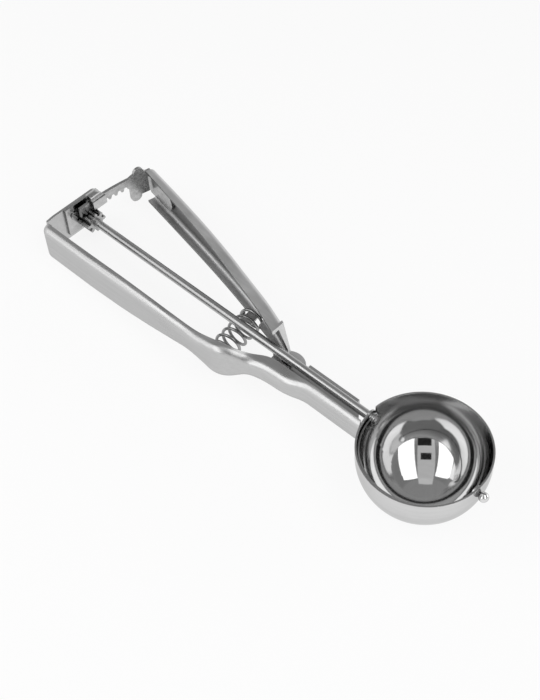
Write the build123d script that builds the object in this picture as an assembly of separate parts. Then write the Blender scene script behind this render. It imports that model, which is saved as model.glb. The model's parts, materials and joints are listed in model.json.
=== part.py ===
from build123d import *
from math import acos, asin, atan2, cos, degrees, hypot, pi, radians, sin, tan
import os

# Lever ice cream scoop: round bowl, sweeping scraper, rack and pinion, two sprung handles.
# It is drawn with the shaft along X and the bowl's centre at the origin, handles towards
# +X, the mouth of the bowl up, the fixed handle on the +Y side. The last section tips it
# on to the surface that it lies on, so that the bowl and the handle's heel touch it.

# ---------------------------------------------------------------- driving sizes, mm
bowl_radius = 28.0            # outside of the bowl
bowl_wall = 0.8
rim_height = 5.2              # rim above the shaft's axis
running_gap = 0.3             # between curved faces that pass each other
fit_gap = 0.04                # radial, a pin turning in its hole
seat_gap = 0.05               # between flat faces that slide on each other

shaft_radius = 2.0
shaft_tip_square = 2.6        # squared end that drives the scraper
shaft_end_x = 210.6           # tail of the shaft, behind the handle's end wall
notch_gap = 0.5               # round the shaft in the bowl's wall

scraper_wall = 0.7
scraper_half_width = 5.4
scraper_end_radius = 3.3
scraper_dip = 3.0             # degrees that the blade rests below the shaft's level

sheet = 1.2                   # handle, lever and guide sheet
bend_radius = 3.4             # outside of the long bends
handle_end_x = 208.6          # outside of the handle's end wall
corner_radius = 4.4           # outside of the bend into the end wall
pivot_x = 75.5                # lever pivot, straight under the shaft
pivot_half_height = 5.4       # half the height of the handle at the pivot
ear_radius = 8.2              # lever's round ear under the pivot
floor_radius = 6.6            # handle's floor round the pivot
pivot_rivet_radius = 1.75

rack_setback = 5.1            # middle of the rack, in front of the end wall's outside
rack_thickness = 1.5
rack_back = 3.8               # solid strip above the rack's teeth
rack_start = -16.2            # degrees round the pivot, lever end
rack_end = 2.2                # degrees, free end
pinion_teeth = 8
pitch_radius = 4.6
pressure_angle = 25.0
addendum = 0.75
root_clearance = 0.25
backlash = 0.2
pinion_overhang = 5.1         # pinion's front face before the middle of the rack

spring_radius = 5.5           # middle of the wire
spring_wire = 1.4             # diameter
spring_turns = 7
spring_foot = (104.0, 17.2)   # end on the handle, in plan
spring_head = (107.5, -12.6)  # end on the lever

# Handle: distance along the shaft, reach of the web from the shaft's axis, height.
handle_stations = (
    (20.0, 10.4, 13.0),
    (32.0, 10.4, 13.0),
    (50.0, 10.4, 12.8),
    (57.0, 10.8, 12.4),
    (61.5, 12.4, 11.4),
    (66.0, 13.6, 2 * pivot_half_height),
    (71.0, 14.0, 2 * pivot_half_height),
    (77.0, 14.5, 2 * pivot_half_height),
    (84.0, 16.6, 2 * pivot_half_height),
    (89.0, 19.4, 14.6),
    (94.0, 22.0, 18.0),
    (99.0, 23.2, 18.2),
    (106.0, 23.2, 15.2),
    (114.0, 23.1, 13.6),
    (125.0, 23.6, 14.9),
    (140.0, 24.2, 17.4),
    (160.0, 24.8, 19.4),
    (180.0, 25.2, 19.6),
    (handle_end_x - corner_radius, 25.2, 19.6),
)
handle_top_edge = (
    (18.0, 7.0), (50.0, 7.1), (68.0, 7.0), (78.0, 7.8), (84.0, 10.9), (91.0, 15.8),
    (99.0, 18.2), (113.0, 19.2), (135.0, 20.0), (165.0, 20.8), (handle_end_x, 21.0),
)
# Lever: the same, measured to the other side of the shaft.
lever_stations = (
    (79.0, 6.5, 2 * (pivot_half_height + seat_gap + sheet)),
    (90.0, 10.9, 2 * (pivot_half_height + seat_gap + sheet)),
    (100.0, 14.2, 15.0),
    (110.0, 17.2, 15.0),
    (120.0, 20.0, 15.6),
    (131.0, 23.0, 17.0),
    (148.0, 27.2, 18.6),
    (173.0, 32.7, 19.8),
    (192.0, 36.6, 20.0),
    (206.0, 39.4, 20.0),
)
lever_top_width = (7.4, 4.8)      # front and rear
lever_bottom_width = (5.8, 5.9)
lever_corner = 2.4            # round corner at the lever's free end
section_count = 41            # even sections in each loft
flange_depth = 18.0           # untrimmed flanges, cut back to their edges below


# ---------------------------------------------------------------- helpers
def disc_x(x, radius, length):
    """Round bar along X that starts at x."""
    return Pos(x, 0, 0) * Rot(0, 90, 0) * Cylinder(radius, length, align=(Align.CENTER, Align.CENTER, Align.MIN))


def disc_z(x, y, z, radius, length):
    """Round bar along Z that starts at z."""
    return Pos(x, y, z) * Cylinder(radius, length, align=(Align.CENTER, Align.CENTER, Align.MIN))


def slab(x0, x1, y0, y1, z0, z1):
    return Pos((x0 + x1) / 2, (y0 + y1) / 2, (z0 + z1) / 2) * Box(x1 - x0, y1 - y0, z1 - z0)


def channel_section(x, reach, height, depth=flange_depth):
    """C-shaped section across X: web at y = reach, flanges turned in towards the shaft."""
    half = height / 2
    inner = bend_radius - sheet
    back = reach - sheet
    edge = reach - depth
    corner = bend_radius * (1 - sin(pi / 4))
    inner_corner = inner * (1 - sin(pi / 4))
    outline = [
        Line((edge, half), (reach - bend_radius, half)),
        ThreePointArc((reach - bend_radius, half), (reach - corner, half - corner), (reach, half - bend_radius)),
        Line((reach, half - bend_radius), (reach, bend_radius - half)),
        ThreePointArc((reach, bend_radius - half), (reach - corner, corner - half), (reach - bend_radius, -half)),
        Line((reach - bend_radius, -half), (edge, -half)),
        Line((edge, -half), (edge, sheet - half)),
        Line((edge, sheet - half), (back - inner, sheet - half)),
        ThreePointArc((back - inner, sheet - half), (back - inner_corner, sheet - half + inner_corner),
                      (back, sheet - half + inner)),
        Line((back, sheet - half + inner), (back, half - sheet - inner)),
        ThreePointArc((back, half - sheet - inner), (back - inner_corner, half - sheet - inner_corner),
                      (back - inner, half - sheet)),
        Line((back - inner, half - sheet), (edge, half - sheet)),
        Line((edge, half - sheet), (edge, half)),
    ]
    return Plane.YZ.offset(x) * make_face(outline)


def station_slope(xs, ys, index):
    """Slope of the smooth curve at one station; level at a crest or a hollow."""
    slopes = [(ys[i + 1] - ys[i]) / (xs[i + 1] - xs[i]) for i in range(len(xs) - 1)]
    if index == 0:
        return slopes[0]
    if index == len(slopes):
        return slopes[-1]
    before, after = slopes[index - 1], slopes[index]
    if before * after <= 0:
        return 0
    return 2 * before * after / (before + after)


def station_value(stations, x, column):
    """Smooth curve through one column of the stations that never swings past them."""
    xs = [station[0] for station in stations]
    ys = [station[column] for station in stations]
    left = max(i for i in range(len(xs) - 1) if i == 0 or xs[i] <= x)
    width = xs[left + 1] - xs[left]
    t = (x - xs[left]) / width
    start = (1 + 2 * t) * (1 - t) ** 2 * ys[left]
    start += t * (1 - t) ** 2 * width * station_slope(xs, ys, left)
    end = t ** 2 * (3 - 2 * t) * ys[left + 1]
    end += t ** 2 * (t - 1) * width * station_slope(xs, ys, left + 1)
    return start + end


def channel_loft(stations):
    """Sheet channel through the stations, drawn with even sections."""
    start, end = stations[0][0], stations[-1][0]
    sections = []
    for number in range(section_count):
        x = start + (end - start) * number / (section_count - 1)
        sections.append(channel_section(x, station_value(stations, x, 1), station_value(stations, x, 2)))
    return loft(sections)


def flat_cutter(outline, z0, z1):
    """Plan outline stood up between two heights."""
    return extrude(Pos(0, 0, z0) * make_face(outline), z1 - z0, dir=(0, 0, 1))


def edge_cutter(points, far_y, z0, z1):
    """Everything between a smooth edge and the line y = far_y."""
    first, last = points[0], points[-1]
    outline = [
        Spline(*points),
        Line(last, (last[0], far_y)),
        Line((last[0], far_y), (first[0], far_y)),
        Line((first[0], far_y), first),
    ]
    return flat_cutter(outline, z0, z1)


# ---------------------------------------------------------------- bowl
inner_radius = bowl_radius - bowl_wall
notch_radius = shaft_radius + notch_gap
pivot_pin_radius = 1.2
pivot_pin_hole = pivot_pin_radius + fit_gap
front_flange_radius = 3.3
front_flange = 0.95


def bowl_body(radius):
    """Half ball with a straight band on top."""
    ball = Sphere(radius) & slab(-radius, radius, -radius, radius, -radius, 0)
    return ball + disc_z(0, 0, 0, radius, rim_height)


def make_bowl():
    shell = bowl_body(bowl_radius)
    hollow = bowl_body(inner_radius) + disc_z(0, 0, 0, inner_radius, rim_height + 1)
    shell -= hollow
    notch = disc_x(0, notch_radius, bowl_radius + 2)
    notch += slab(0, bowl_radius + 2, -notch_radius, notch_radius, 0, rim_height + 1)
    shell -= notch
    shell -= disc_x(-bowl_radius - 2, pivot_pin_hole, bowl_radius)
    return shell


def square_bar(x0, x1, width):
    """Square bar on the shaft's axis."""
    return slab(x0, x1, -width / 2, width / 2, -width / 2, width / 2)


def make_front_bush():
    """Flanged sleeve in the bowl's notch that carries the front of the shaft."""
    sleeve = disc_x(inner_radius, notch_radius - 0.02, bowl_radius - inner_radius + 1)
    flange = disc_x(bowl_radius + 0.05, front_flange_radius, front_flange)
    bush = sleeve + flange
    return bush - disc_x(0, shaft_radius + fit_gap, bowl_radius + 10)


def make_scraper():
    """Half hoop that lies close to the bowl's wall, with a round end on each pivot."""
    outside = inner_radius - running_gap
    shell = Sphere(outside) - Sphere(outside - scraper_wall)
    narrow = scraper_end_radius * 0.8
    half = scraper_half_width
    outline = [
        ThreePointArc((-outside, narrow), (0, half), (outside, narrow)),
        Line((outside, narrow), (outside, -narrow)),
        ThreePointArc((outside, -narrow), (0, -half), (-outside, -narrow)),
        Line((-outside, -narrow), (-outside, narrow)),
    ]
    lens = extrude(Plane.XZ * make_face(outline), outside, dir=(0, 1, 0))
    ends = disc_x(-outside, scraper_end_radius, 2 * outside)
    blade = Rot(-scraper_dip, 0, 0) * (shell & (lens + ends))
    blade -= square_bar(0, outside, shaft_tip_square)
    return blade - disc_x(-outside, pivot_pin_hole, outside)


scraper_outside = inner_radius - running_gap
scraper_inside = scraper_outside - scraper_wall
pivot_head_radius = 2.2


def make_pivot_rivet():
    """Ball head outside the bowl, shank through wall and blade, flat head inside."""
    ball_x = -bowl_radius - 1.9
    rivet = Pos(ball_x, 0, 0) * Sphere(pivot_head_radius)
    neck_x = -scraper_inside + 0.15
    rivet += disc_x(ball_x, pivot_pin_radius, neck_x - ball_x)
    rivet += disc_x(neck_x, pivot_head_radius, 0.7)
    return rivet


# ---------------------------------------------------------------- rack and pinion
rack_x = handle_end_x - rack_setback
rack_radius = rack_x - pivot_x
pinion_front_x = rack_x - pinion_overhang
tooth_angle = 360 / pinion_teeth
rack_pitch = 2 * pi * pitch_radius / pinion_teeth
rack_pitch_angle = degrees(rack_pitch / rack_radius)
base_radius = pitch_radius * cos(radians(pressure_angle))
tip_radius = pitch_radius + addendum
root_radius = pitch_radius - addendum - root_clearance
rack_tip_z = pitch_radius - addendum
rack_root_z = pitch_radius + addendum + root_clearance
rack_top = rack_root_z + rack_back


def involute(angle):
    return tan(angle) - angle


def flank_half_angle(radius):
    """Half the angle that a pinion tooth takes up at a radius."""
    at_pitch = (rack_pitch - backlash) / 4 / pitch_radius
    return at_pitch + involute(radians(pressure_angle)) - involute(acos(base_radius / radius))


def on_circle(radius, angle):
    return (radius * cos(angle), radius * sin(angle))


def make_pinion():
    """Long spur pinion; the middle of one tooth points straight up."""
    blank = Circle(root_radius)
    base_half = flank_half_angle(base_radius)
    mid_radius = (base_radius + tip_radius) / 2
    for number in range(pinion_teeth):
        middle = pi / 2 + radians(number * tooth_angle)
        left = [on_circle(r, middle + flank_half_angle(r)) for r in (base_radius, mid_radius, tip_radius)]
        right = [on_circle(r, middle - flank_half_angle(r)) for r in (tip_radius, mid_radius, base_radius)]
        foot_left = on_circle(root_radius - 0.3, middle + base_half)
        foot_right = on_circle(root_radius - 0.3, middle - base_half)
        tooth = make_face([
            Line(foot_left, left[0]),
            ThreePointArc(*left),
            ThreePointArc(left[2], on_circle(tip_radius, middle), right[0]),
            ThreePointArc(*right),
            Line(right[2], foot_right),
            Line(foot_right, foot_left),
        ])
        blank += tooth
    blank -= Circle(shaft_radius)
    back_x = bush_flange_x - seat_gap
    return extrude(Plane.YZ.offset(pinion_front_x) * blank, back_x - pinion_front_x)


def sector(radius, thickness, start, end, z0, z1):
    """Curved strip on edge, concentric with the lever's pivot."""
    inner = radius - thickness / 2
    outer = radius + thickness / 2
    spans = [radians(a) for a in (start, (start + end) / 2, end)]
    outer_arc = [on_circle(outer, a) for a in spans]
    inner_arc = [on_circle(inner, a) for a in reversed(spans)]
    outline = [
        ThreePointArc(*outer_arc),
        Line(outer_arc[2], inner_arc[0]),
        ThreePointArc(*inner_arc),
        Line(inner_arc[2], outer_arc[0]),
    ]
    return Pos(pivot_x, 0, 0) * flat_cutter(outline, z0, z1)


foot_width = 5.4              # degrees of the rack's foot on the lever
foot_middle = -13.3           # degrees, middle of the upper lobe
upper_lobe = (0.0, 10.6, 2.7)     # across and height of its centre, radius
lower_lobe = (2.7, -3.1, 2.9)
tail_length = 13.5
tail_half_height = 6.0
tail_bend = 2.3               # inside of the bend from the foot into the tail


def tooth_space(angle):
    """Gap between two rack teeth, tapered to the root."""
    half_space = rack_pitch / 4 + backlash / 4
    slope = tan(radians(pressure_angle))
    mouth = half_space + (pitch_radius - rack_tip_z + 0.5) * slope
    root = half_space - (rack_root_z - pitch_radius) * slope
    outline = Polyline((-mouth, rack_tip_z - 0.5), (mouth, rack_tip_z - 0.5), (root, rack_root_z),
                       (-root, rack_root_z), close=True)
    space = extrude(Plane.YZ.offset(rack_radius - 2) * make_face(outline), 4)
    return Pos(pivot_x, 0, 0) * Rot(0, 0, angle) * space


def lever_direction():
    """Angle of the lever's last straight stretch, in degrees below the X axis."""
    (x0, y0, _), (x1, y1, _) = lever_stations[-2:]
    return degrees(atan2(y1 - y0, x1 - x0))


def make_rack():
    arm = sector(rack_radius, rack_thickness, rack_start, rack_end, rack_tip_z, rack_top)
    first = int((rack_start + foot_width) / rack_pitch_angle)
    last = int(rack_end / rack_pitch_angle) + 1
    for number in range(first, last + 1):
        arm -= tooth_space(number * rack_pitch_angle)
    return arm + rack_foot() + rack_tail()


def rack_foot():
    """Plate across the lever's end, with a round lobe above and another below."""
    foot = sector(rack_radius, rack_thickness, rack_start, rack_start + foot_width, -20, 20)
    up_x, up_z, up_radius = upper_lobe
    low_x, low_z, low_radius = lower_lobe
    inner = radians(rack_start + foot_width - foot_middle) * rack_radius
    outer = radians(rack_start - foot_middle) * rack_radius
    outline = [
        ThreePointArc((up_x + up_radius, up_z), (up_x, up_z + up_radius), (up_x - up_radius, up_z)),
        Polyline((up_x - up_radius, up_z), (outer, up_z - 3), (outer, low_z), (low_x - low_radius, low_z)),
        ThreePointArc((low_x - low_radius, low_z), (low_x, low_z - low_radius), (low_x + low_radius, low_z)),
        Polyline((low_x + low_radius, low_z), (inner, rack_tip_z), (inner, rack_top), (up_x + up_radius, up_z)),
    ]
    keep = extrude(Plane.YZ.offset(rack_radius - 5) * make_face(outline), 10)
    return foot & (Pos(pivot_x, 0, 0) * Rot(0, 0, foot_middle) * keep)


def rack_tail():
    """Strip that runs forward from the foot along the inside of the lever's web."""
    (x1, y1, _) = lever_stations[-1]
    tilt = lever_direction()
    outline = Pos(-tail_length / 2, 0, 0) * RectangleRounded(tail_length + 2 * tail_half_height,
                                                              2 * tail_half_height, tail_half_height - 0.1)
    strip = extrude(Plane.XZ * outline, rack_thickness / 2, both=True)
    face = rack_thickness / 2
    bend = Pos(0.4 - face, face - 0.4, lower_lobe[1]) * Box(
        tail_bend + 0.4, tail_bend + 0.4, tail_half_height - lower_lobe[1], align=(Align.MAX, Align.MIN, Align.MIN))
    strip += bend - Pos(-face - tail_bend, face + tail_bend, 0) * Cylinder(tail_bend, 40)
    end_x = pivot_x + rack_radius * cos(radians(rack_start))
    along = (end_x - x1) / cos(radians(tilt))
    offset = sheet + seat_gap + 0.15 + rack_thickness / 2
    placed = Pos(x1, -y1, 0) * Rot(0, 0, -tilt) * Pos(along, offset, 0) * strip
    keep = disc_z(pivot_x, 0, -20, rack_radius + rack_thickness / 2, 40)
    return placed & keep


# ---------------------------------------------------------------- handle and lever
def make_handle():
    body = channel_loft(handle_stations)
    end_x, reach, height = handle_stations[-1]
    flange = reach - handle_top_edge[-1][1]
    elbow_section = channel_section(end_x, reach, height, flange)
    elbow_axis = Axis((end_x, reach - corner_radius, 0), (0, 0, 1))
    elbow = revolve(elbow_section, elbow_axis, -90)
    body -= edge_cutter(handle_top_edge, -20, 0, 20)
    body -= floor_cutter()
    body -= bowl_keep_out()
    body -= pivot_seats()
    body -= spring_space()
    body += elbow
    body += end_wall()
    body += neck_lip()
    body += spring_tongue(spring_foot, spring_foot_z, 1)
    return body - disc_z(pivot_x, 0, -10, pivot_rivet_radius + fit_gap, 10)


def pivot_seats():
    """Flats on both faces of the floor, for the lever's ear and for the rivet's head."""
    below = disc_z(pivot_x, 0, -20, ear_radius + running_gap, 20 - pivot_half_height)
    above = disc_z(pivot_x, 0, floor_top, pivot_rivet_radius * 1.5 + running_gap, 4)
    return below + above


def bowl_keep_out():
    return bowl_body(bowl_radius + seat_gap) + disc_z(0, 0, 0, bowl_radius + seat_gap, 20)


floor_top = sheet - pivot_half_height
neck_far_edge = -5.6
lip_start_x = 39.0
lip_end_x = 67.0


def floor_cutter():
    """Trims the bottom flange: wide under the neck and pivot, narrow along the grip."""
    corner = (pivot_x, -floor_radius)
    side = (pivot_x + floor_radius, 0)
    middle = (pivot_x + floor_radius * sin(pi / 4), -floor_radius * sin(pi / 4))
    flange = ((84.0, 9.0), (90.0, 14.6), (95.0, 17.0), (104.0, 17.6), (135.0, 19.0),
              (165.0, 19.8), (handle_end_x, 20.0))
    outline = [
        Polyline((18, 2), (33, 2), (lip_start_x, neck_far_edge), (66, neck_far_edge), corner),
        ThreePointArc(corner, middle, side),
        Line(side, flange[0]),
        Spline(*flange),
        Polyline(flange[-1], (handle_end_x, -20), (18, -20), (18, 2)),
    ]
    return flat_cutter(outline, -20, 0)


def neck_lip():
    """Low upturned edge on the far side of the neck's floor."""
    lip = slab(lip_start_x, lip_end_x, neck_far_edge, neck_far_edge + sheet, -5.4, -3.4)
    return lip


end_wall_top = 10.4
end_wall_bottom = -8.0
guide_y = -9.6
guide_corner = 3.0


def end_wall():
    """Flat wall across the handle's end that carries the shaft's bush and the rack guide."""
    right = handle_stations[-1][1] - corner_radius
    shoulder = handle_stations[-1][2] / 2
    diagonal = end_wall_bottom * sin(pi / 4)
    outline = [
        Line((0, end_wall_bottom), (right, end_wall_bottom)),
        Line((right, end_wall_bottom), (right, shoulder)),
        ThreePointArc((right, shoulder), (right / 2, end_wall_top + 0.4), (0, end_wall_top)),
        Line((0, end_wall_top), (guide_y, end_wall_top)),
        Polyline((guide_y, end_wall_top), (guide_y, 4.0), (end_wall_bottom, 0)),
        ThreePointArc((end_wall_bottom, 0), (diagonal, diagonal), (0, end_wall_bottom)),
    ]
    wall = extrude(Plane.YZ.offset(handle_end_x - sheet) * make_face(outline), sheet)
    return (wall & round_end()) - guide_holes()


def round_end():
    """Everything on the handle's side of the guide's rounded upper corner."""
    outline = Pos(guide_y + 25, 0, 0) * RectangleRounded(50, 2 * end_wall_top, guide_corner)
    return extrude(Plane.YZ.offset(pinion_front_x) * outline, handle_end_x - pinion_front_x)


bush_radius = 2.9
bush_flange_radius = 3.8
bush_flange = 0.5
guide_rivet_radius = 1.0
guide_rivet_places = ((6.8, 5.0), (-6.2, 7.0))


def guide_holes():
    """Holes for the bush and the two rivets, through the end wall and the guide."""
    holes = disc_x(handle_end_x - 5, bush_radius, 10)
    for y, z in guide_rivet_places:
        holes += Pos(0, y, z) * disc_x(handle_end_x - 5, guide_rivet_radius + 0.01, 10)
    return holes


def lever_edge(widths):
    """Inner edge of one of the lever's flanges, in plan."""
    front, rear = widths
    start, end = lever_stations[0][0], lever_stations[-1][0]
    return [(x, front + (rear - front) * (x - start) / (end - start) - reach) for x, reach, _ in lever_stations]


def make_lever():
    body = mirror(channel_loft(lever_stations), about=Plane.XZ)
    body -= edge_cutter(lever_edge(lever_top_width), 30, 0, 20)
    body -= edge_cutter(lever_edge(lever_bottom_width), 30, -20, 0)
    body -= lever_front()
    body -= spring_space()
    body &= lever_end()
    body += spring_tongue(spring_head, spring_head_z, -1)
    return body + lever_ear() + lever_ramp()


def lever_end():
    """Everything up to the rack's foot, with the lever's outer corner rounded off."""
    radius = rack_radius - rack_thickness / 2 - seat_gap
    tilt = lever_direction()
    x1, y1, _ = lever_stations[-1]
    end_x = pivot_x + radius * cos(radians(rack_start))
    end_y = -y1 - (end_x - x1) * tan(radians(tilt))
    corner = Pos(-lever_corner / 2, lever_corner / 2, 0) * Box(lever_corner, lever_corner, 60)
    corner -= Pos(-lever_corner, lever_corner, 0) * Cylinder(lever_corner, 60)
    return disc_z(pivot_x, 0, -20, radius, 40) - Pos(end_x, end_y, 0) * Rot(0, 0, -tilt) * corner


ramp_top = (86.0, pivot_half_height + seat_gap + sheet)
ramp_foot = (79.6, -pivot_half_height - seat_gap)
ramp_inner_y = -5.7


def lever_front():
    """Space in front of the ramp, where the lever's channel is cut away."""
    outline = Polyline((60, 20), (ramp_top[0], 20), ramp_top, ramp_foot, (60, ramp_foot[1]), close=True)
    return extrude(Plane.XZ * make_face(outline), 40, both=True)


def lever_ramp():
    """Sheet that closes the front of the channel, from the top flange down to the ear."""
    thickness = sheet * 1.15
    outline = Polyline(ramp_top, (ramp_top[0] + thickness, ramp_top[1]),
                       (ramp_foot[0] + thickness, ramp_foot[1]), ramp_foot, close=True)
    plate = extrude(Plane.XZ * make_face(outline), 40, both=True)
    front = [(x, -station_value(lever_stations, x, 1)) for x in (79.0, 83.5, 88.0)]
    plan = Polyline(*front, (88.0, ramp_inner_y), (79.0, ramp_inner_y), close=True)
    return plate & flat_cutter(plan, -20, 20)


def lever_ear():
    """Round ear that turns on the pivot rivet, under the handle's floor."""
    top = -pivot_half_height - seat_gap
    ear = disc_z(pivot_x, 0, top - sheet, ear_radius, sheet)
    x0, y0, _ = lever_stations[0]
    x1, y1, _ = lever_stations[1]
    web = make_face(Polyline((pivot_x, -ear_radius), (x0, -y0), (x1, -y1 + bend_radius),
                             (x1, -y1 + lever_bottom_width[0]), (pivot_x + ear_radius, 0), (pivot_x, 0),
                             close=True))
    ear += extrude(Pos(0, 0, top - sheet) * web, sheet, dir=(0, 0, 1))
    return ear - disc_z(pivot_x, 0, -20, pivot_rivet_radius + fit_gap, 20)


def make_lever_rivet():
    """Rivet through the floor and the ear, with a flat head on each side."""
    ear_bottom = -pivot_half_height - seat_gap - sheet
    head = 0.9
    rivet = disc_z(pivot_x, 0, ear_bottom - seat_gap - head, pivot_rivet_radius,
                   floor_top - ear_bottom + 2 * (seat_gap + head))
    rivet += disc_z(pivot_x, 0, ear_bottom - seat_gap - head, pivot_rivet_radius * 1.7, head)
    rivet += disc_z(pivot_x, 0, floor_top + seat_gap, pivot_rivet_radius * 1.5, head)
    return rivet


# ---------------------------------------------------------------- rack guide
arch_clearance = 0.8          # in front of the rack
guide_front_x = rack_x - rack_thickness / 2 - arch_clearance - sheet
guide_back_x = handle_end_x - sheet - seat_gap
arch_x = (guide_front_x + guide_back_x) / 2
arch_z = rack_top - 0.1
arch_radius = (guide_back_x - guide_front_x) / 2
arch_end_y = -1.6
arch_corner = 4.5
guide_plate_end = 11.0


def make_rack_guide():
    """Plate on the end wall with an arch over the rack that keeps it in mesh."""
    front_x = guide_back_x - sheet
    plate = slab(front_x, guide_back_x, guide_y, guide_plate_end, -tip_radius, end_wall_top)
    plate -= slab(front_x - 1, guide_back_x + 1, guide_y - 1, -tip_radius, -tip_radius - 1, pitch_radius)
    plate &= round_end()
    arch = half_ring(arch_radius) - half_ring(arch_radius - sheet)
    arch -= disc_x(guide_front_x - 1, tip_radius + 2 * running_gap, sheet + 2)
    return (plate + (arch & dome())) - guide_holes()


def half_ring(radius):
    """Solid arch over the rack, with legs down to the pinion's pitch line."""
    low = pitch_radius + 0.4
    arch = Pos(arch_x, guide_y, arch_z) * Rot(-90, 0, 0) * Cylinder(
        radius, arch_end_y - guide_y, align=(Align.CENTER, Align.CENTER, Align.MIN))
    return arch + slab(arch_x - radius, arch_x + radius, guide_y, arch_end_y, low, arch_z)


def dome():
    """Outline of the arch seen along the shaft, with one rounded upper corner."""
    top = arch_z + arch_radius
    outline = Pos(guide_y + 25, 0, 0) * RectangleRounded(50, 2 * top, arch_corner)
    return extrude(Plane.YZ.offset(guide_front_x) * outline, 2 * arch_radius)


bush_flange_x = guide_back_x - sheet - bush_flange
guide_rivet_head = 0.7


def make_guide_rivets():
    rivets = []
    for y, z in guide_rivet_places:
        front_x = guide_back_x - sheet - guide_rivet_head
        rivet = disc_x(front_x, guide_rivet_radius, handle_end_x + guide_rivet_head - front_x)
        rivet += disc_x(front_x, guide_rivet_radius * 1.8, guide_rivet_head)
        rivet += disc_x(handle_end_x, guide_rivet_radius * 1.8, guide_rivet_head)
        rivets.append(Pos(0, y, z) * rivet)
    return rivets


# ---------------------------------------------------------------- shaft and its bearings
shaft_shoulder_x = scraper_outside + 0.05
washer_radius = 3.0
washer_thickness = 0.6
washer_x = scraper_inside - 0.25 - washer_thickness
tip_head_radius = 1.8
tip_head = 0.7


def make_shaft():
    """Round shaft with a squared tip and the peened head that holds the blade on it."""
    shaft = disc_x(shaft_shoulder_x, shaft_radius, shaft_end_x - shaft_shoulder_x)
    head_x = washer_x - tip_head
    shaft += square_bar(head_x, shaft_shoulder_x, shaft_tip_square - 2 * fit_gap)
    return shaft + disc_x(head_x, tip_head_radius, tip_head)


def make_scraper_washer():
    washer = disc_x(washer_x, washer_radius, washer_thickness)
    return washer - square_bar(0, bowl_radius, shaft_tip_square)


def make_rear_bush():
    bush = disc_x(bush_flange_x, bush_flange_radius, bush_flange)
    sleeve_x = bush_flange_x + bush_flange
    bush += disc_x(sleeve_x, bush_radius - 0.02, handle_end_x - sleeve_x)
    return bush - disc_x(bush_flange_x - 1, shaft_radius + fit_gap, 20)


def make_end_washer():
    washer = disc_x(handle_end_x + seat_gap, 3.4, 0.8)
    return washer - disc_x(handle_end_x - 1, shaft_radius + 0.01, 5)


# ---------------------------------------------------------------- spring
tongue_width = 5.4
tongue_length = 6.0
tongue_step = 0.1             # coined down from each face of the sheet
spring_z = -(shaft_radius + 2 * running_gap + spring_wire / 2 + spring_radius)
spring_foot_z = (sheet - station_value(handle_stations, spring_foot[0], 2)) / 2
spring_head_z = (sheet - station_value(lever_stations, spring_head[0], 2)) / 2
spring_start = Vector(*spring_foot, spring_z)
spring_line = Vector(*spring_head, spring_z) - spring_start
spring_plane = Plane(origin=spring_start, z_dir=spring_line)


def spring_space():
    """Round space that the coil takes up between the two bottom flanges."""
    radius = spring_radius + spring_wire / 2 + running_gap
    return spring_plane * Cylinder(radius, spring_line.length, align=(Align.CENTER, Align.CENTER, Align.MIN))


def spring_tongue(place, z, side):
    """Tongue of the bottom flange that stands in the end of the coil."""
    turn = degrees(atan2(spring_line.X, -spring_line.Y))
    root = 2.5
    tongue = Box(tongue_width, tongue_length + root, sheet - 2 * tongue_step)
    tongue = Pos(0, side * (root - tongue_length) / 2, 0) * tongue
    return Pos(place[0], place[1], z) * Rot(0, 0, turn) * tongue


def make_spring():
    end_gap = spring_wire / 2 + 0.1
    height = spring_line.length - 2 * end_gap
    helix = Helix(pitch=height / spring_turns, height=height, radius=spring_radius)
    profile = Plane(helix @ 0, z_dir=helix % 0) * Circle(spring_wire / 2)
    return spring_plane * Pos(0, 0, end_gap) * sweep(profile, path=helix)


# ---------------------------------------------------------------- lying pose and export
def lying_angle():
    """Tip about Y at which the bowl and the heel of the handle touch one plane."""
    heel_x = handle_end_x - bend_radius
    heel_z = handle_stations[-1][2] / 2
    return degrees(asin(bowl_radius / hypot(heel_x, heel_z)) - atan2(heel_z, heel_x))


def main():
    os.makedirs("parts", exist_ok=True)
    nodes = {
        "bowl": make_bowl(),
        "front_bush": make_front_bush(),
        "scraper_blade": make_scraper(),
        "bowl_pivot_rivet": make_pivot_rivet(),
        "drive_shaft": make_shaft(),
        "scraper_washer": make_scraper_washer(),
        "pinion": make_pinion(),
        "rack": make_rack(),
        "handle": make_handle(),
        "lever": make_lever(),
        "lever_pivot_rivet": make_lever_rivet(),
        "rack_guide": make_rack_guide(),
        "guide_rivets": Compound(children=make_guide_rivets()),
        "rear_bush": make_rear_bush(),
        "end_washer": make_end_washer(),
        "return_spring": make_spring(),
    }
    tip = Rot(0, lying_angle(), 0)
    boxes = [(tip * shape).bounding_box() for shape in nodes.values()]
    middle_x = (min(box.min.X for box in boxes) + max(box.max.X for box in boxes)) / 2
    middle_y = (min(box.min.Y for box in boxes) + max(box.max.Y for box in boxes)) / 2
    lowest_z = min(box.min.Z for box in boxes)
    place = Pos(-middle_x, -middle_y, -lowest_z) * tip
    for name, shape in nodes.items():
        export_step(place * shape, f"parts/{name}.step")


main()
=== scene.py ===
import bpy
import json
from math import cos, pi, radians, sin, tan
from mathutils import Matrix, Vector


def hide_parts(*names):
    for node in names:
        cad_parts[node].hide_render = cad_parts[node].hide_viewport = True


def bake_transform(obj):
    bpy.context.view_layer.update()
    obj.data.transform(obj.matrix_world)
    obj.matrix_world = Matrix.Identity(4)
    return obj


# Polished steel ice cream scoop on a white table, seen over the bowl and the fixed handle.

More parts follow.
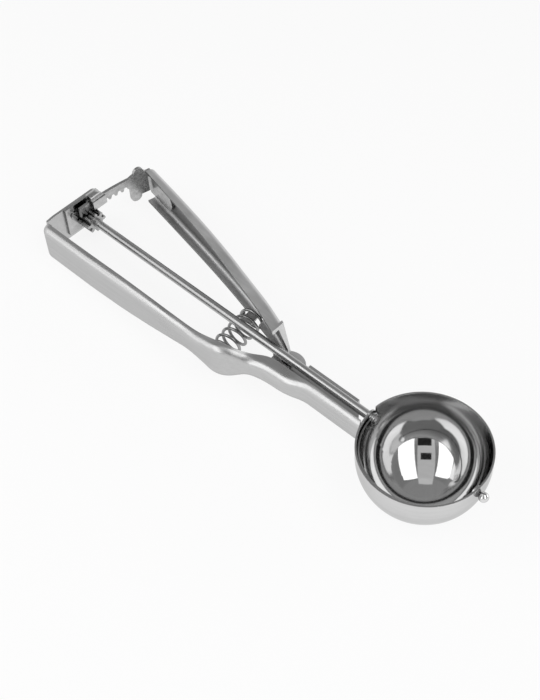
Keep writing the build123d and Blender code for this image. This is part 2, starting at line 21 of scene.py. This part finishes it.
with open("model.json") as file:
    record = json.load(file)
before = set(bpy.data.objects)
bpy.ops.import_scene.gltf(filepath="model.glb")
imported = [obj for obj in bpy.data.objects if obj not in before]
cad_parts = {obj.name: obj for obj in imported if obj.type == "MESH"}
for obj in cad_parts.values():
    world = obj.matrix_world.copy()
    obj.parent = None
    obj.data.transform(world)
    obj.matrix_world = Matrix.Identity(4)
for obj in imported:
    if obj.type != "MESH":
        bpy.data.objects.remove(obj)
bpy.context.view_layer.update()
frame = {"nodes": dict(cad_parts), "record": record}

# ------------------------------------------------------------- the scoop's own axes
MM = 0.001
joints = {joint["name"]: joint for joint in frame["record"]["behaviour"]["joints"]}
BOWL_CENTRE = Vector(joints["scraper_sweep"]["pos_m"])
ALONG = -Vector(joints["scraper_sweep"]["axis"])     # from the bowl to the handles
UP = Vector(joints["lever_squeeze"]["axis"])         # out of the bowl's mouth
ACROSS = UP.cross(ALONG)                             # towards the fixed handle


def scoop_direction(x, y, z):
    return ALONG * x + ACROSS * y + UP * z


def scoop_point(x, y, z):
    """A point measured in millimetres from the bowl's centre along the scoop's axes."""
    return BOWL_CENTRE + scoop_direction(x, y, z) * MM


# ------------------------------------------------------------- camera
IMAGE_HEIGHT = 700
FOCAL_PIXELS = 1269.5
SENSOR_HEIGHT = 24.0
CAMERA_DISTANCE = 550.0       # millimetres, as are the points
CAMERA_TARGET = (84.7, 0.91, -1.65)
CAMERA_AZIMUTH = -133.79      # degrees, 0 looks along the scoop's ACROSS axis
CAMERA_ELEVATION = 50.83
CAMERA_ROLL = 3.48


def camera_axes():
    """Right, up and back of the camera, in the scene's axes."""
    azimuth, elevation, roll = map(radians, (CAMERA_AZIMUTH, CAMERA_ELEVATION, CAMERA_ROLL))
    level = cos(elevation)
    back = scoop_direction(sin(azimuth) * level, -cos(azimuth) * level, sin(elevation))
    right = UP.cross(back).normalized()
    up = back.cross(right)
    return right * cos(roll) - up * sin(roll), up * cos(roll) + right * sin(roll), back


CAMERA_RIGHT, CAMERA_UP, CAMERA_BACK = camera_axes()


def make_camera():
    data = bpy.data.cameras.new("camera")
    data.sensor_fit = "VERTICAL"
    data.sensor_height = SENSOR_HEIGHT
    data.lens = FOCAL_PIXELS / IMAGE_HEIGHT * SENSOR_HEIGHT
    data.clip_start = 0.01
    camera = bpy.data.objects.new("camera", data)
    place = scoop_point(*CAMERA_TARGET) + CAMERA_BACK * CAMERA_DISTANCE * MM
    turn = Matrix((CAMERA_RIGHT, CAMERA_UP, CAMERA_BACK)).transposed()
    camera.matrix_world = Matrix.Translation(place) @ turn.to_4x4()
    bpy.context.collection.objects.link(camera)
    bpy.context.scene.camera = camera


# ------------------------------------------------------------- nodes of a material
def opaque(grey):
    return (grey, grey, grey, 1)


def new_material(name):
    material = bpy.data.materials.new(name)
    material.use_nodes = True
    return material, material.node_tree.nodes["Principled BSDF"]


def add(tree, kind, **values):
    """A node with its own settings and its inputs' constants, with _ for a blank in a name."""
    node = tree.nodes.new(kind)
    for key, value in values.items():
        if hasattr(node, key):
            setattr(node, key, value)
        else:
            node.inputs[key.replace("_", " ")].default_value = value
    return node


def feed(tree, sockets, operands):
    """Gives each socket its operand, which is the output of a node or a constant."""
    for socket, operand in zip(sockets, operands):
        if isinstance(operand, bpy.types.NodeSocket):
            tree.links.new(operand, socket)
        else:
            socket.default_value = operand


def maths(tree, operation, *operands):
    node = add(tree, "ShaderNodeMath", operation=operation)
    feed(tree, node.inputs, operands)
    return node.outputs[0]


def vector_maths(tree, operation, *operands, output="Vector"):
    node = add(tree, "ShaderNodeVectorMath", operation=operation)
    feed(tree, node.inputs, operands)
    return node.outputs[output]


def split(tree, vector):
    """The outputs X, Y and Z of a vector."""
    node = add(tree, "ShaderNodeSeparateXYZ")
    tree.links.new(vector, node.inputs[0])
    return node.outputs


def ranged(tree, value, before, after=(0, 1)):
    """A value that is kept inside one range and carried over to another."""
    node = add(tree, "ShaderNodeMapRange", From_Min=before[0], From_Max=before[1],
               To_Min=after[0], To_Max=after[1])
    tree.links.new(value, node.inputs["Value"])
    return node.outputs[0]


def ramp(tree, value, steps):
    """Colour ramp from steps of place and grey."""
    node = add(tree, "ShaderNodeValToRGB")
    elements = node.color_ramp.elements
    for element, (position, grey) in zip(elements, (steps[0], steps[-1])):
        element.position = position
        element.color = opaque(grey)
    for position, grey in steps[1:-1]:
        elements.new(position).color = opaque(grey)
    tree.links.new(value, node.inputs[0])
    return node.outputs[0]


# ------------------------------------------------------------- steel
EDGE_RADIUS = 0.12            # millimetres that every sharp edge is worn round
EDGE_SAMPLES = 4
MARK_DEPTH = 0.004            # millimetres from the top to the bottom of a polishing mark
MARK_BUMP = 0.5               # share of that depth at a finish of strength 1
MARK_GREY = 0.06              # how far the marks take the grey either way, at strength 1
MARK_ROUGHNESS = 0.08         # the most that the marks add to the roughness, at strength 1
STAIN_SCALE = (0.06, 0.06, 0.06)     # stains per millimetre
STAIN_GREY = 0.02             # how far they take the grey either way
STAIN_ROUGHNESS = (0.8, 1.3)  # share of the roughness between stains and in them
NOISE_MIDDLE = (0.3, 0.7)     # values of a noise that are stretched over the whole range
NOISE_ROUGHNESS = 0.6
FINE_DETAIL, BROAD_DETAIL, STAIN_DETAIL = 3.0, 2.0, 4.0
GRAZING_TINT = 0.75           # steel seen along its surface is a little darker than white

BOWL_MIDDLE_RADIUS = 27.6     # between the inside and the outside of the bowl's wall
BEYOND_BOWL = 100             # farther from the bowl's centre than any of its points
SATIN_HEIGHTS = (-14, -3)     # where the rougher band with painted shade inside the bowl starts and is full
SATIN_RIM_SHADE = -0.13            # painted shade under the rim, added to the steel's grey
SATIN_ROUGHNESS = 0.08        # added to its roughness

HOLLOW_REACH = 9.0            # millimetres over which a wall makes the steel beside it a hollow
HOLLOW_SAMPLES = 8
HOLLOW_OPENNESS = (0.25, 0.85)       # share of the sides that is open, in a hollow and on a face
HOLLOW_SHADE_GREY = 0.40            # share of its grey that steel keeps in a deep hollow, as painted shade
INNER_FACING = (0.5, 0.95)    # cosine of the angle off inward, where a channel's web starts and on it
INNER_SHADE_GREY = 0.30             # share of grey left on the inside of a channel's web, as painted shade

# Finishes: marks per millimetre, along the axes of the finish's own coordinates.
TURNED_ABOUT = {"spun": "Z", "turned": "X"}
FINE_MARKS = {
    "drawn": (0.04, 2.5, 2.5),
    "spun": (2.5, 1.5, 2.5),
    "turned": (3.0, 0.5, 3.0),
    "tumbled": (1.8, 1.8, 1.8),
}
BROAD_MARKS = {
    "drawn": (0.012, 0.9, 0.9),
    "spun": (0.5, 0.6, 0.5),
    "turned": (1.2, 0.5, 1.2),
    "tumbled": (0.5, 0.5, 0.5),
}
# For each node: its material's name, grey, roughness, finish and strength of the marks. Some go on
# with the grey share left by painted shade in hollows, and the lever with its web's facing for
# painted shade.
STEELS = {
    "bowl": ("polished_bowl", 0.64, 0.05, "spun", 0.3),
    "scraper_blade": ("polished_blade", 0.62, 0.07, "spun", 0.5),
    "bowl_pivot_rivet": ("polished_rivet", 0.72, 0.06, "turned", 0.3),
    "lever_pivot_rivet": ("polished_pivot", 0.60, 0.12, "tumbled", 0.6),
    "front_bush": ("turned_bush", 0.52, 0.16, "turned", 0.8),
    "rear_bush": ("turned_rear_bush", 0.50, 0.16, "turned", 0.8),
    "scraper_washer": ("stamped_washer", 0.52, 0.16, "turned", 0.8),
    "end_washer": ("stamped_end_washer", 0.52, 0.16, "turned", 0.8),
    "drive_shaft": ("drawn_shaft", 0.50, 0.24, "drawn", 1.0, 1.0),
    "pinion": ("cut_pinion", 0.46, 0.16, "turned", 1.0),
    "rack": ("stamped_rack", 0.46, 0.20, "tumbled", 1.2),
    "rack_guide": ("folded_guide", 0.52, 0.16, "tumbled", 0.8),
    "guide_rivets": ("flat_rivets", 0.54, 0.14, "tumbled", 0.6),
    "handle": ("formed_handle", 0.54, 0.29, "drawn", 0.4, 1.0),
    "lever": ("formed_lever", 0.70, 0.38, "drawn", 0.5, 0.6, ACROSS),
    "return_spring": ("spring_wire", 0.34, 0.14, "tumbled", 0.6),
}


def scoop_coordinates(tree):
    """Texture coordinates in millimetres from the bowl's centre, along the scoop's axes."""
    place = add(tree, "ShaderNodeTexCoord")
    lean = Matrix((ALONG, ACROSS, UP))
    turned = add(tree, "ShaderNodeMapping", Scale=(1 / MM, 1 / MM, 1 / MM),
                 Rotation=lean.to_euler(), Location=-(lean @ BOWL_CENTRE) / MM)
    tree.links.new(place.outputs["Object"], turned.inputs["Vector"])
    return turned.outputs["Vector"]


def round_coordinates(tree, vector, axis):
    """Distance from an axis through the bowl's centre, angle round it and place along it."""
    places = split(tree, vector)
    first, second = [places[name] for name in "XYZ" if name != axis]
    squares = [maths(tree, "MULTIPLY", side, side) for side in (first, second)]
    distance = maths(tree, "SQRT", maths(tree, "ADD", *squares))
    angle = maths(tree, "ARCTAN2", second, first)
    joined = add(tree, "ShaderNodeCombineXYZ")
    feed(tree, joined.inputs, (distance, angle, places[axis]))
    return joined.outputs[0]


def marks(tree, vector, scale, detail):
    """Streaky noise; scale is its number of marks per millimetre on each axis."""
    stretched = add(tree, "ShaderNodeMapping", Scale=scale)
    noise = add(tree, "ShaderNodeTexNoise", Scale=1.0, Detail=detail, Roughness=NOISE_ROUGHNESS)
    tree.links.new(vector, stretched.inputs["Vector"])
    tree.links.new(stretched.outputs[0], noise.inputs["Vector"])
    return noise.outputs["Fac"]


def spread(tree, noise, low, high):
    """A noise whose middle is stretched between two values."""
    return ranged(tree, noise, NOISE_MIDDLE, (low, high))


def hollow_shade_share(tree, least):
    """Share of the grey that is left in hollows, as beside a gear: painted shade from ambient
    occlusion.
    """
    openness = add(tree, "ShaderNodeAmbientOcclusion", samples=HOLLOW_SAMPLES,
                   Distance=HOLLOW_REACH * MM)
    return ranged(tree, openness.outputs["AO"], HOLLOW_OPENNESS, (least, 1))


def inner_shade_share(tree, inward):
    """Share of the grey that is left on a channel's inner side, which faces inward, as painted shade.
    """
    place = add(tree, "ShaderNodeTexCoord")
    facing = vector_maths(tree, "DOT_PRODUCT", place.outputs["Normal"], inward, output="Value")
    return ranged(tree, facing, INNER_FACING, (1, INNER_SHADE_GREY))


def satin_and_shade_share(tree, vector):
    """Inside of the bowl from its polished bottom, 0, to the rougher band under the rim with painted
    shade, 1.
    """
    below = vector_maths(tree, "MINIMUM", vector, (BEYOND_BOWL, BEYOND_BOWL, 0))
    distance = vector_maths(tree, "LENGTH", below, output="Value")
    inside = maths(tree, "LESS_THAN", distance, BOWL_MIDDLE_RADIUS)
    height = ranged(tree, split(tree, vector)["Z"], SATIN_HEIGHTS)
    return maths(tree, "MULTIPLY", inside, height)


def worn_normal(tree, fine, strength):
    """Rounds the sharp edges and presses the fine marks into the surface."""
    edge = add(tree, "ShaderNodeBevel", samples=EDGE_SAMPLES, Radius=EDGE_RADIUS * MM)
    bump = add(tree, "ShaderNodeBump", Strength=MARK_BUMP * strength, Distance=MARK_DEPTH * MM)
    tree.links.new(edge.outputs[0], bump.inputs["Normal"])
    tree.links.new(fine, bump.inputs["Height"])
    return bump.outputs[0]


def steel(name, grey, roughness, finish, strength, hollow=HOLLOW_SHADE_GREY, inward=None):
    """Stainless steel with polishing marks, faint stains, worn edges and painted shade in hollows, on
    a channel's inner side and under the bowl's rim.
    """
    material, shader = new_material(name)
    tree = material.node_tree
    place = scoop_coordinates(tree)
    vector = place
    if finish in TURNED_ABOUT:
        vector = round_coordinates(tree, place, TURNED_ABOUT[finish])
    fine = marks(tree, vector, FINE_MARKS[finish], FINE_DETAIL)
    broad = marks(tree, vector, BROAD_MARKS[finish], BROAD_DETAIL)
    stains = marks(tree, place, STAIN_SCALE, STAIN_DETAIL)

    tone = maths(tree, "ADD",
                 spread(tree, broad, -MARK_GREY * strength, MARK_GREY * strength),
                 spread(tree, stains, grey - STAIN_GREY, grey + STAIN_GREY))
    rough = maths(tree, "ADD",
                  spread(tree, fine, 0, MARK_ROUGHNESS * strength),
                  spread(tree, stains, *(roughness * share for share in STAIN_ROUGHNESS)))
    if finish == "spun":
        satin_and_shade = satin_and_shade_share(tree, place)
        # Painted shade: the band under the rim is darker, and also rougher.
        tone = maths(tree, "ADD", tone, maths(tree, "MULTIPLY", satin_and_shade, SATIN_RIM_SHADE))
        rough = maths(tree, "ADD", rough, maths(tree, "MULTIPLY", satin_and_shade, SATIN_ROUGHNESS))
    else:
        # Painted shade: darker in hollows, from ambient occlusion.
        tone = maths(tree, "MULTIPLY", tone, hollow_shade_share(tree, hollow))
    if inward:
        # Painted shade on the inward-facing side of the lever's web.
        tone = maths(tree, "MULTIPLY", tone, inner_shade_share(tree, inward))

    colour = add(tree, "ShaderNodeCombineColor")
    feed(tree, colour.inputs, (tone, tone, tone))
    tree.links.new(colour.outputs[0], shader.inputs["Base Color"])
    tree.links.new(rough, shader.inputs["Roughness"])
    tree.links.new(worn_normal(tree, fine, strength), shader.inputs["Normal"])
    shader.inputs["Metallic"].default_value = 1
    shader.inputs["Specular Tint"].default_value = opaque(GRAZING_TINT)
    return material


def dress(node, material):
    for slot in frame["nodes"][node].material_slots:
        slot.material = material


# ------------------------------------------------------------- return spring
SPRING_FOOT = Vector((104.0, 17.2, -8.8))    # ends of the coil's axis, millimetres
SPRING_HEAD = Vector((107.5, -12.6, -8.8))
SPRING_RADIUS = 5.5
WIRE_RADIUS = 0.7
WIRE_SIDES = 14
SPRING_TURNS = 7.5
TURN_STEPS = 40
CLOSED_TURNS = 0.8            # close-wound at each end
CLOSED_PITCH = 2.1 * WIRE_RADIUS     # a little more than the wire, so that turns don't merge
END_ROOM = 1.1 * WIRE_RADIUS         # from each end of the axis to the wire's middle


def coil_rise(turn, length):
    """Height of the wire's middle after a number of turns, with closed ends."""
    closed_length = 2 * CLOSED_TURNS * CLOSED_PITCH
    free_pitch = (length - closed_length) / (SPRING_TURNS - 2 * CLOSED_TURNS)
    first = min(turn, CLOSED_TURNS)
    last = max(0.0, turn - (SPRING_TURNS - CLOSED_TURNS))
    return CLOSED_PITCH * (first + last) + free_pitch * (turn - first - last)


def coil_points(steps):
    """Rings of points round the wire, from the coil's foot to its head."""
    axis = SPRING_HEAD - SPRING_FOOT
    length = axis.length - 2 * END_ROOM
    axis.normalize()
    side = axis.cross(Vector((0, 0, 1))).normalized()
    over = axis.cross(side)
    points = []
    for step in range(steps + 1):
        turn = step / TURN_STEPS
        outward = side * cos(2 * pi * turn) + over * sin(2 * pi * turn)
        rise = END_ROOM + coil_rise(turn, length)
        middle = SPRING_FOOT + axis * rise + outward * SPRING_RADIUS
        for number in range(WIRE_SIDES):
            around = 2 * pi * number / WIRE_SIDES
            offset = outward * cos(around) + axis * sin(around)
            points.append(scoop_point(*(middle + offset * WIRE_RADIUS)))
    return points


def coil_faces(steps):
    """Faces between neighbouring rings, and one face on each end of the wire."""
    faces = []
    for start in range(0, steps * WIRE_SIDES, WIRE_SIDES):
        for number in range(WIRE_SIDES):
            here = start + number
            beside = start + (number + 1) % WIRE_SIDES
            faces.append((here, beside, beside + WIRE_SIDES, here + WIRE_SIDES))
    last_ring = steps * WIRE_SIDES
    faces.append(tuple(reversed(range(WIRE_SIDES))))
    faces.append(tuple(range(last_ring, last_ring + WIRE_SIDES)))
    return faces


def make_spring(material):
    """Coil of round wire; one end is at the handle and the other at the lever."""
    steps = round(SPRING_TURNS * TURN_STEPS)
    mesh = bpy.data.meshes.new("coil_spring")
    mesh.from_pydata(coil_points(steps), [], coil_faces(steps))
    mesh.materials.append(material)
    mesh.shade_smooth()
    spring = bpy.data.objects.new("coil_spring", mesh)
    bpy.context.collection.objects.link(spring)
    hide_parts("return_spring")
    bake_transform(spring)


# ------------------------------------------------------------- studio
TABLE_SIZE = 6                # metres
TABLE_GREY = 0.93
TABLE_ROUGHNESS = 0.8
TABLE_GLOSS = 0.1
TABLE_GLOW = 0.86             # share of the table's white that doesn't depend on the light

SOFT_BOX_DISTANCE = 0.7       # metres from the bowl's centre
SOFT_BOXES = (                # degrees to the camera's right, degrees up, radiance
    ("soft_box_right", (10, 40), (-30, 47), 1.6),
    ("soft_box_left", (-61, -33), (-24, 42), 1.6),
    ("strip_light", (-27, 5), (-42, 58), 0.38),
    ("rear_light", (-92, -64), (0, 40), 0.9),
    ("side_light", (76, 100), (6, 36), 1.8),
)
CARD_DISTANCE = 0.65          # in front of the soft boxes
CARD_GREY = 0.01
DARK_CARDS = (                # degrees to the camera's right, degrees up
    ("camera_card", (-20, -1), (1, 13)),
    ("lower_card", (-20, 4), (-26, -12)),
)

SKY = (                       # sine of the elevation, brightness
    (0.0, 0.92), (0.10, 0.88), (0.22, 0.66), (0.42, 0.45), (0.58, 0.30), (0.75, 0.24), (1.0, 0.24),
)
FAR_WALL = (                  # cosine of the angle off the wall's middle, brightness
    (0.0, 0.0), (0.72, 0.0), (0.86, 0.3), (1.0, 0.3),
)
FAR_WALL_MIDDLE = (0.456, -0.437, 0.775)     # along the scoop's axes


def make_floor():
    """White table, lit a little from within so that it stays white beside bright steel."""
    bpy.ops.mesh.primitive_plane_add(size=TABLE_SIZE, location=(0, 0, 0))
    floor = bpy.context.object
    floor.name = "table_top"
    material, shader = new_material("white_table")
    tree = material.node_tree
    shader.inputs["Base Color"].default_value = opaque(TABLE_GREY)
    shader.inputs["Roughness"].default_value = TABLE_ROUGHNESS
    shader.inputs["Specular IOR Level"].default_value = TABLE_GLOSS
    ray = add(tree, "ShaderNodeLightPath").outputs
    seen = maths(tree, "MAXIMUM", ray["Is Camera Ray"], ray["Is Glossy Ray"])
    white = add(tree, "ShaderNodeEmission", Strength=1.0)
    mix = add(tree, "ShaderNodeMixShader")
    tree.links.new(maths(tree, "MULTIPLY", seen, TABLE_GLOW), mix.inputs[0])
    tree.links.new(shader.outputs[0], mix.inputs[1])
    tree.links.new(white.outputs[0], mix.inputs[2])
    tree.links.new(mix.outputs[0], tree.nodes["Material Output"].inputs["Surface"])
    floor.data.materials.append(material)


def studio_direction(right_angle, up_angle):
    """Direction off the line from the bowl to the camera, in degrees to its right and up."""
    right_angle, up_angle = radians(right_angle), radians(up_angle)
    level = CAMERA_BACK * cos(right_angle) + CAMERA_RIGHT * sin(right_angle)
    return level * cos(up_angle) + CAMERA_UP * sin(up_angle)


def seen_size(angles, distance):
    """Size of what fills a range of degrees at a distance from the bowl."""
    low, high = angles
    return 2 * distance * tan(radians(high - low) / 2)


def face_bowl(thing, right_angles, up_angles, distance):
    """Places a lamp or a card in the middle of its angles, turned to face the bowl."""
    back = studio_direction(sum(right_angles) / 2, sum(up_angles) / 2)
    right = CAMERA_UP.cross(back).normalized()
    turn = Matrix((right, back.cross(right), back)).transposed()
    thing.matrix_world = Matrix.Translation(BOWL_CENTRE + back * distance) @ turn.to_4x4()
    thing.visible_camera = False


def make_soft_box(name, right_angles, up_angles, radiance):
    """Soft box that the bowl sees between two angles each way, in degrees."""
    data = bpy.data.lights.new(name, "AREA")
    data.shape = "RECTANGLE"
    data.size = seen_size(right_angles, SOFT_BOX_DISTANCE)
    data.size_y = seen_size(up_angles, SOFT_BOX_DISTANCE)
    data.energy = radiance * pi * data.size * data.size_y
    lamp = bpy.data.objects.new(name, data)
    bpy.context.collection.objects.link(lamp)
    face_bowl(lamp, right_angles, up_angles, SOFT_BOX_DISTANCE)


def make_dark_card(name, right_angles, up_angles):
    """Black card near the camera's line, as dark as the camera that the bowl mirrors."""
    bpy.ops.mesh.primitive_plane_add(size=1)
    card = bpy.context.object
    card.name = name
    sizes = [seen_size(angles, CARD_DISTANCE) for angles in (right_angles, up_angles)]
    card.data.transform(Matrix.Diagonal((*sizes, 1, 1)))
    material, shader = new_material(name)
    shader.inputs["Base Color"].default_value = opaque(CARD_GREY)
    shader.inputs["Roughness"].default_value = 1
    card.data.materials.append(material)
    face_bowl(card, right_angles, up_angles, CARD_DISTANCE)
    card.visible_shadow = False
    card.visible_diffuse = False


def make_world():
    """Pale at the level of the table, darker overhead, with a grey wall far behind the scoop."""
    world = bpy.data.worlds.new("studio")
    bpy.context.scene.world = world
    world.use_nodes = True
    tree = world.node_tree
    direction = add(tree, "ShaderNodeTexCoord").outputs["Generated"]
    to_wall = scoop_direction(*FAR_WALL_MIDDLE)
    facing = vector_maths(tree, "DOT_PRODUCT", direction, to_wall, output="Value")
    sky = ramp(tree, split(tree, direction)["Z"], SKY)
    wall = ramp(tree, facing, FAR_WALL)
    lighter = vector_maths(tree, "MAXIMUM", sky, wall)
    tree.links.new(lighter, tree.nodes["Background"].inputs["Color"])


# ------------------------------------------------------------- the scene
make_camera()
for node, settings in STEELS.items():
    material = steel(*settings)
    if node == "return_spring":
        make_spring(material)
    else:
        dress(node, material)
make_floor()
for soft_box in SOFT_BOXES:
    make_soft_box(*soft_box)
for dark_card in DARK_CARDS:
    make_dark_card(*dark_card)
make_world()
bpy.context.scene.view_settings.view_transform = "Standard"
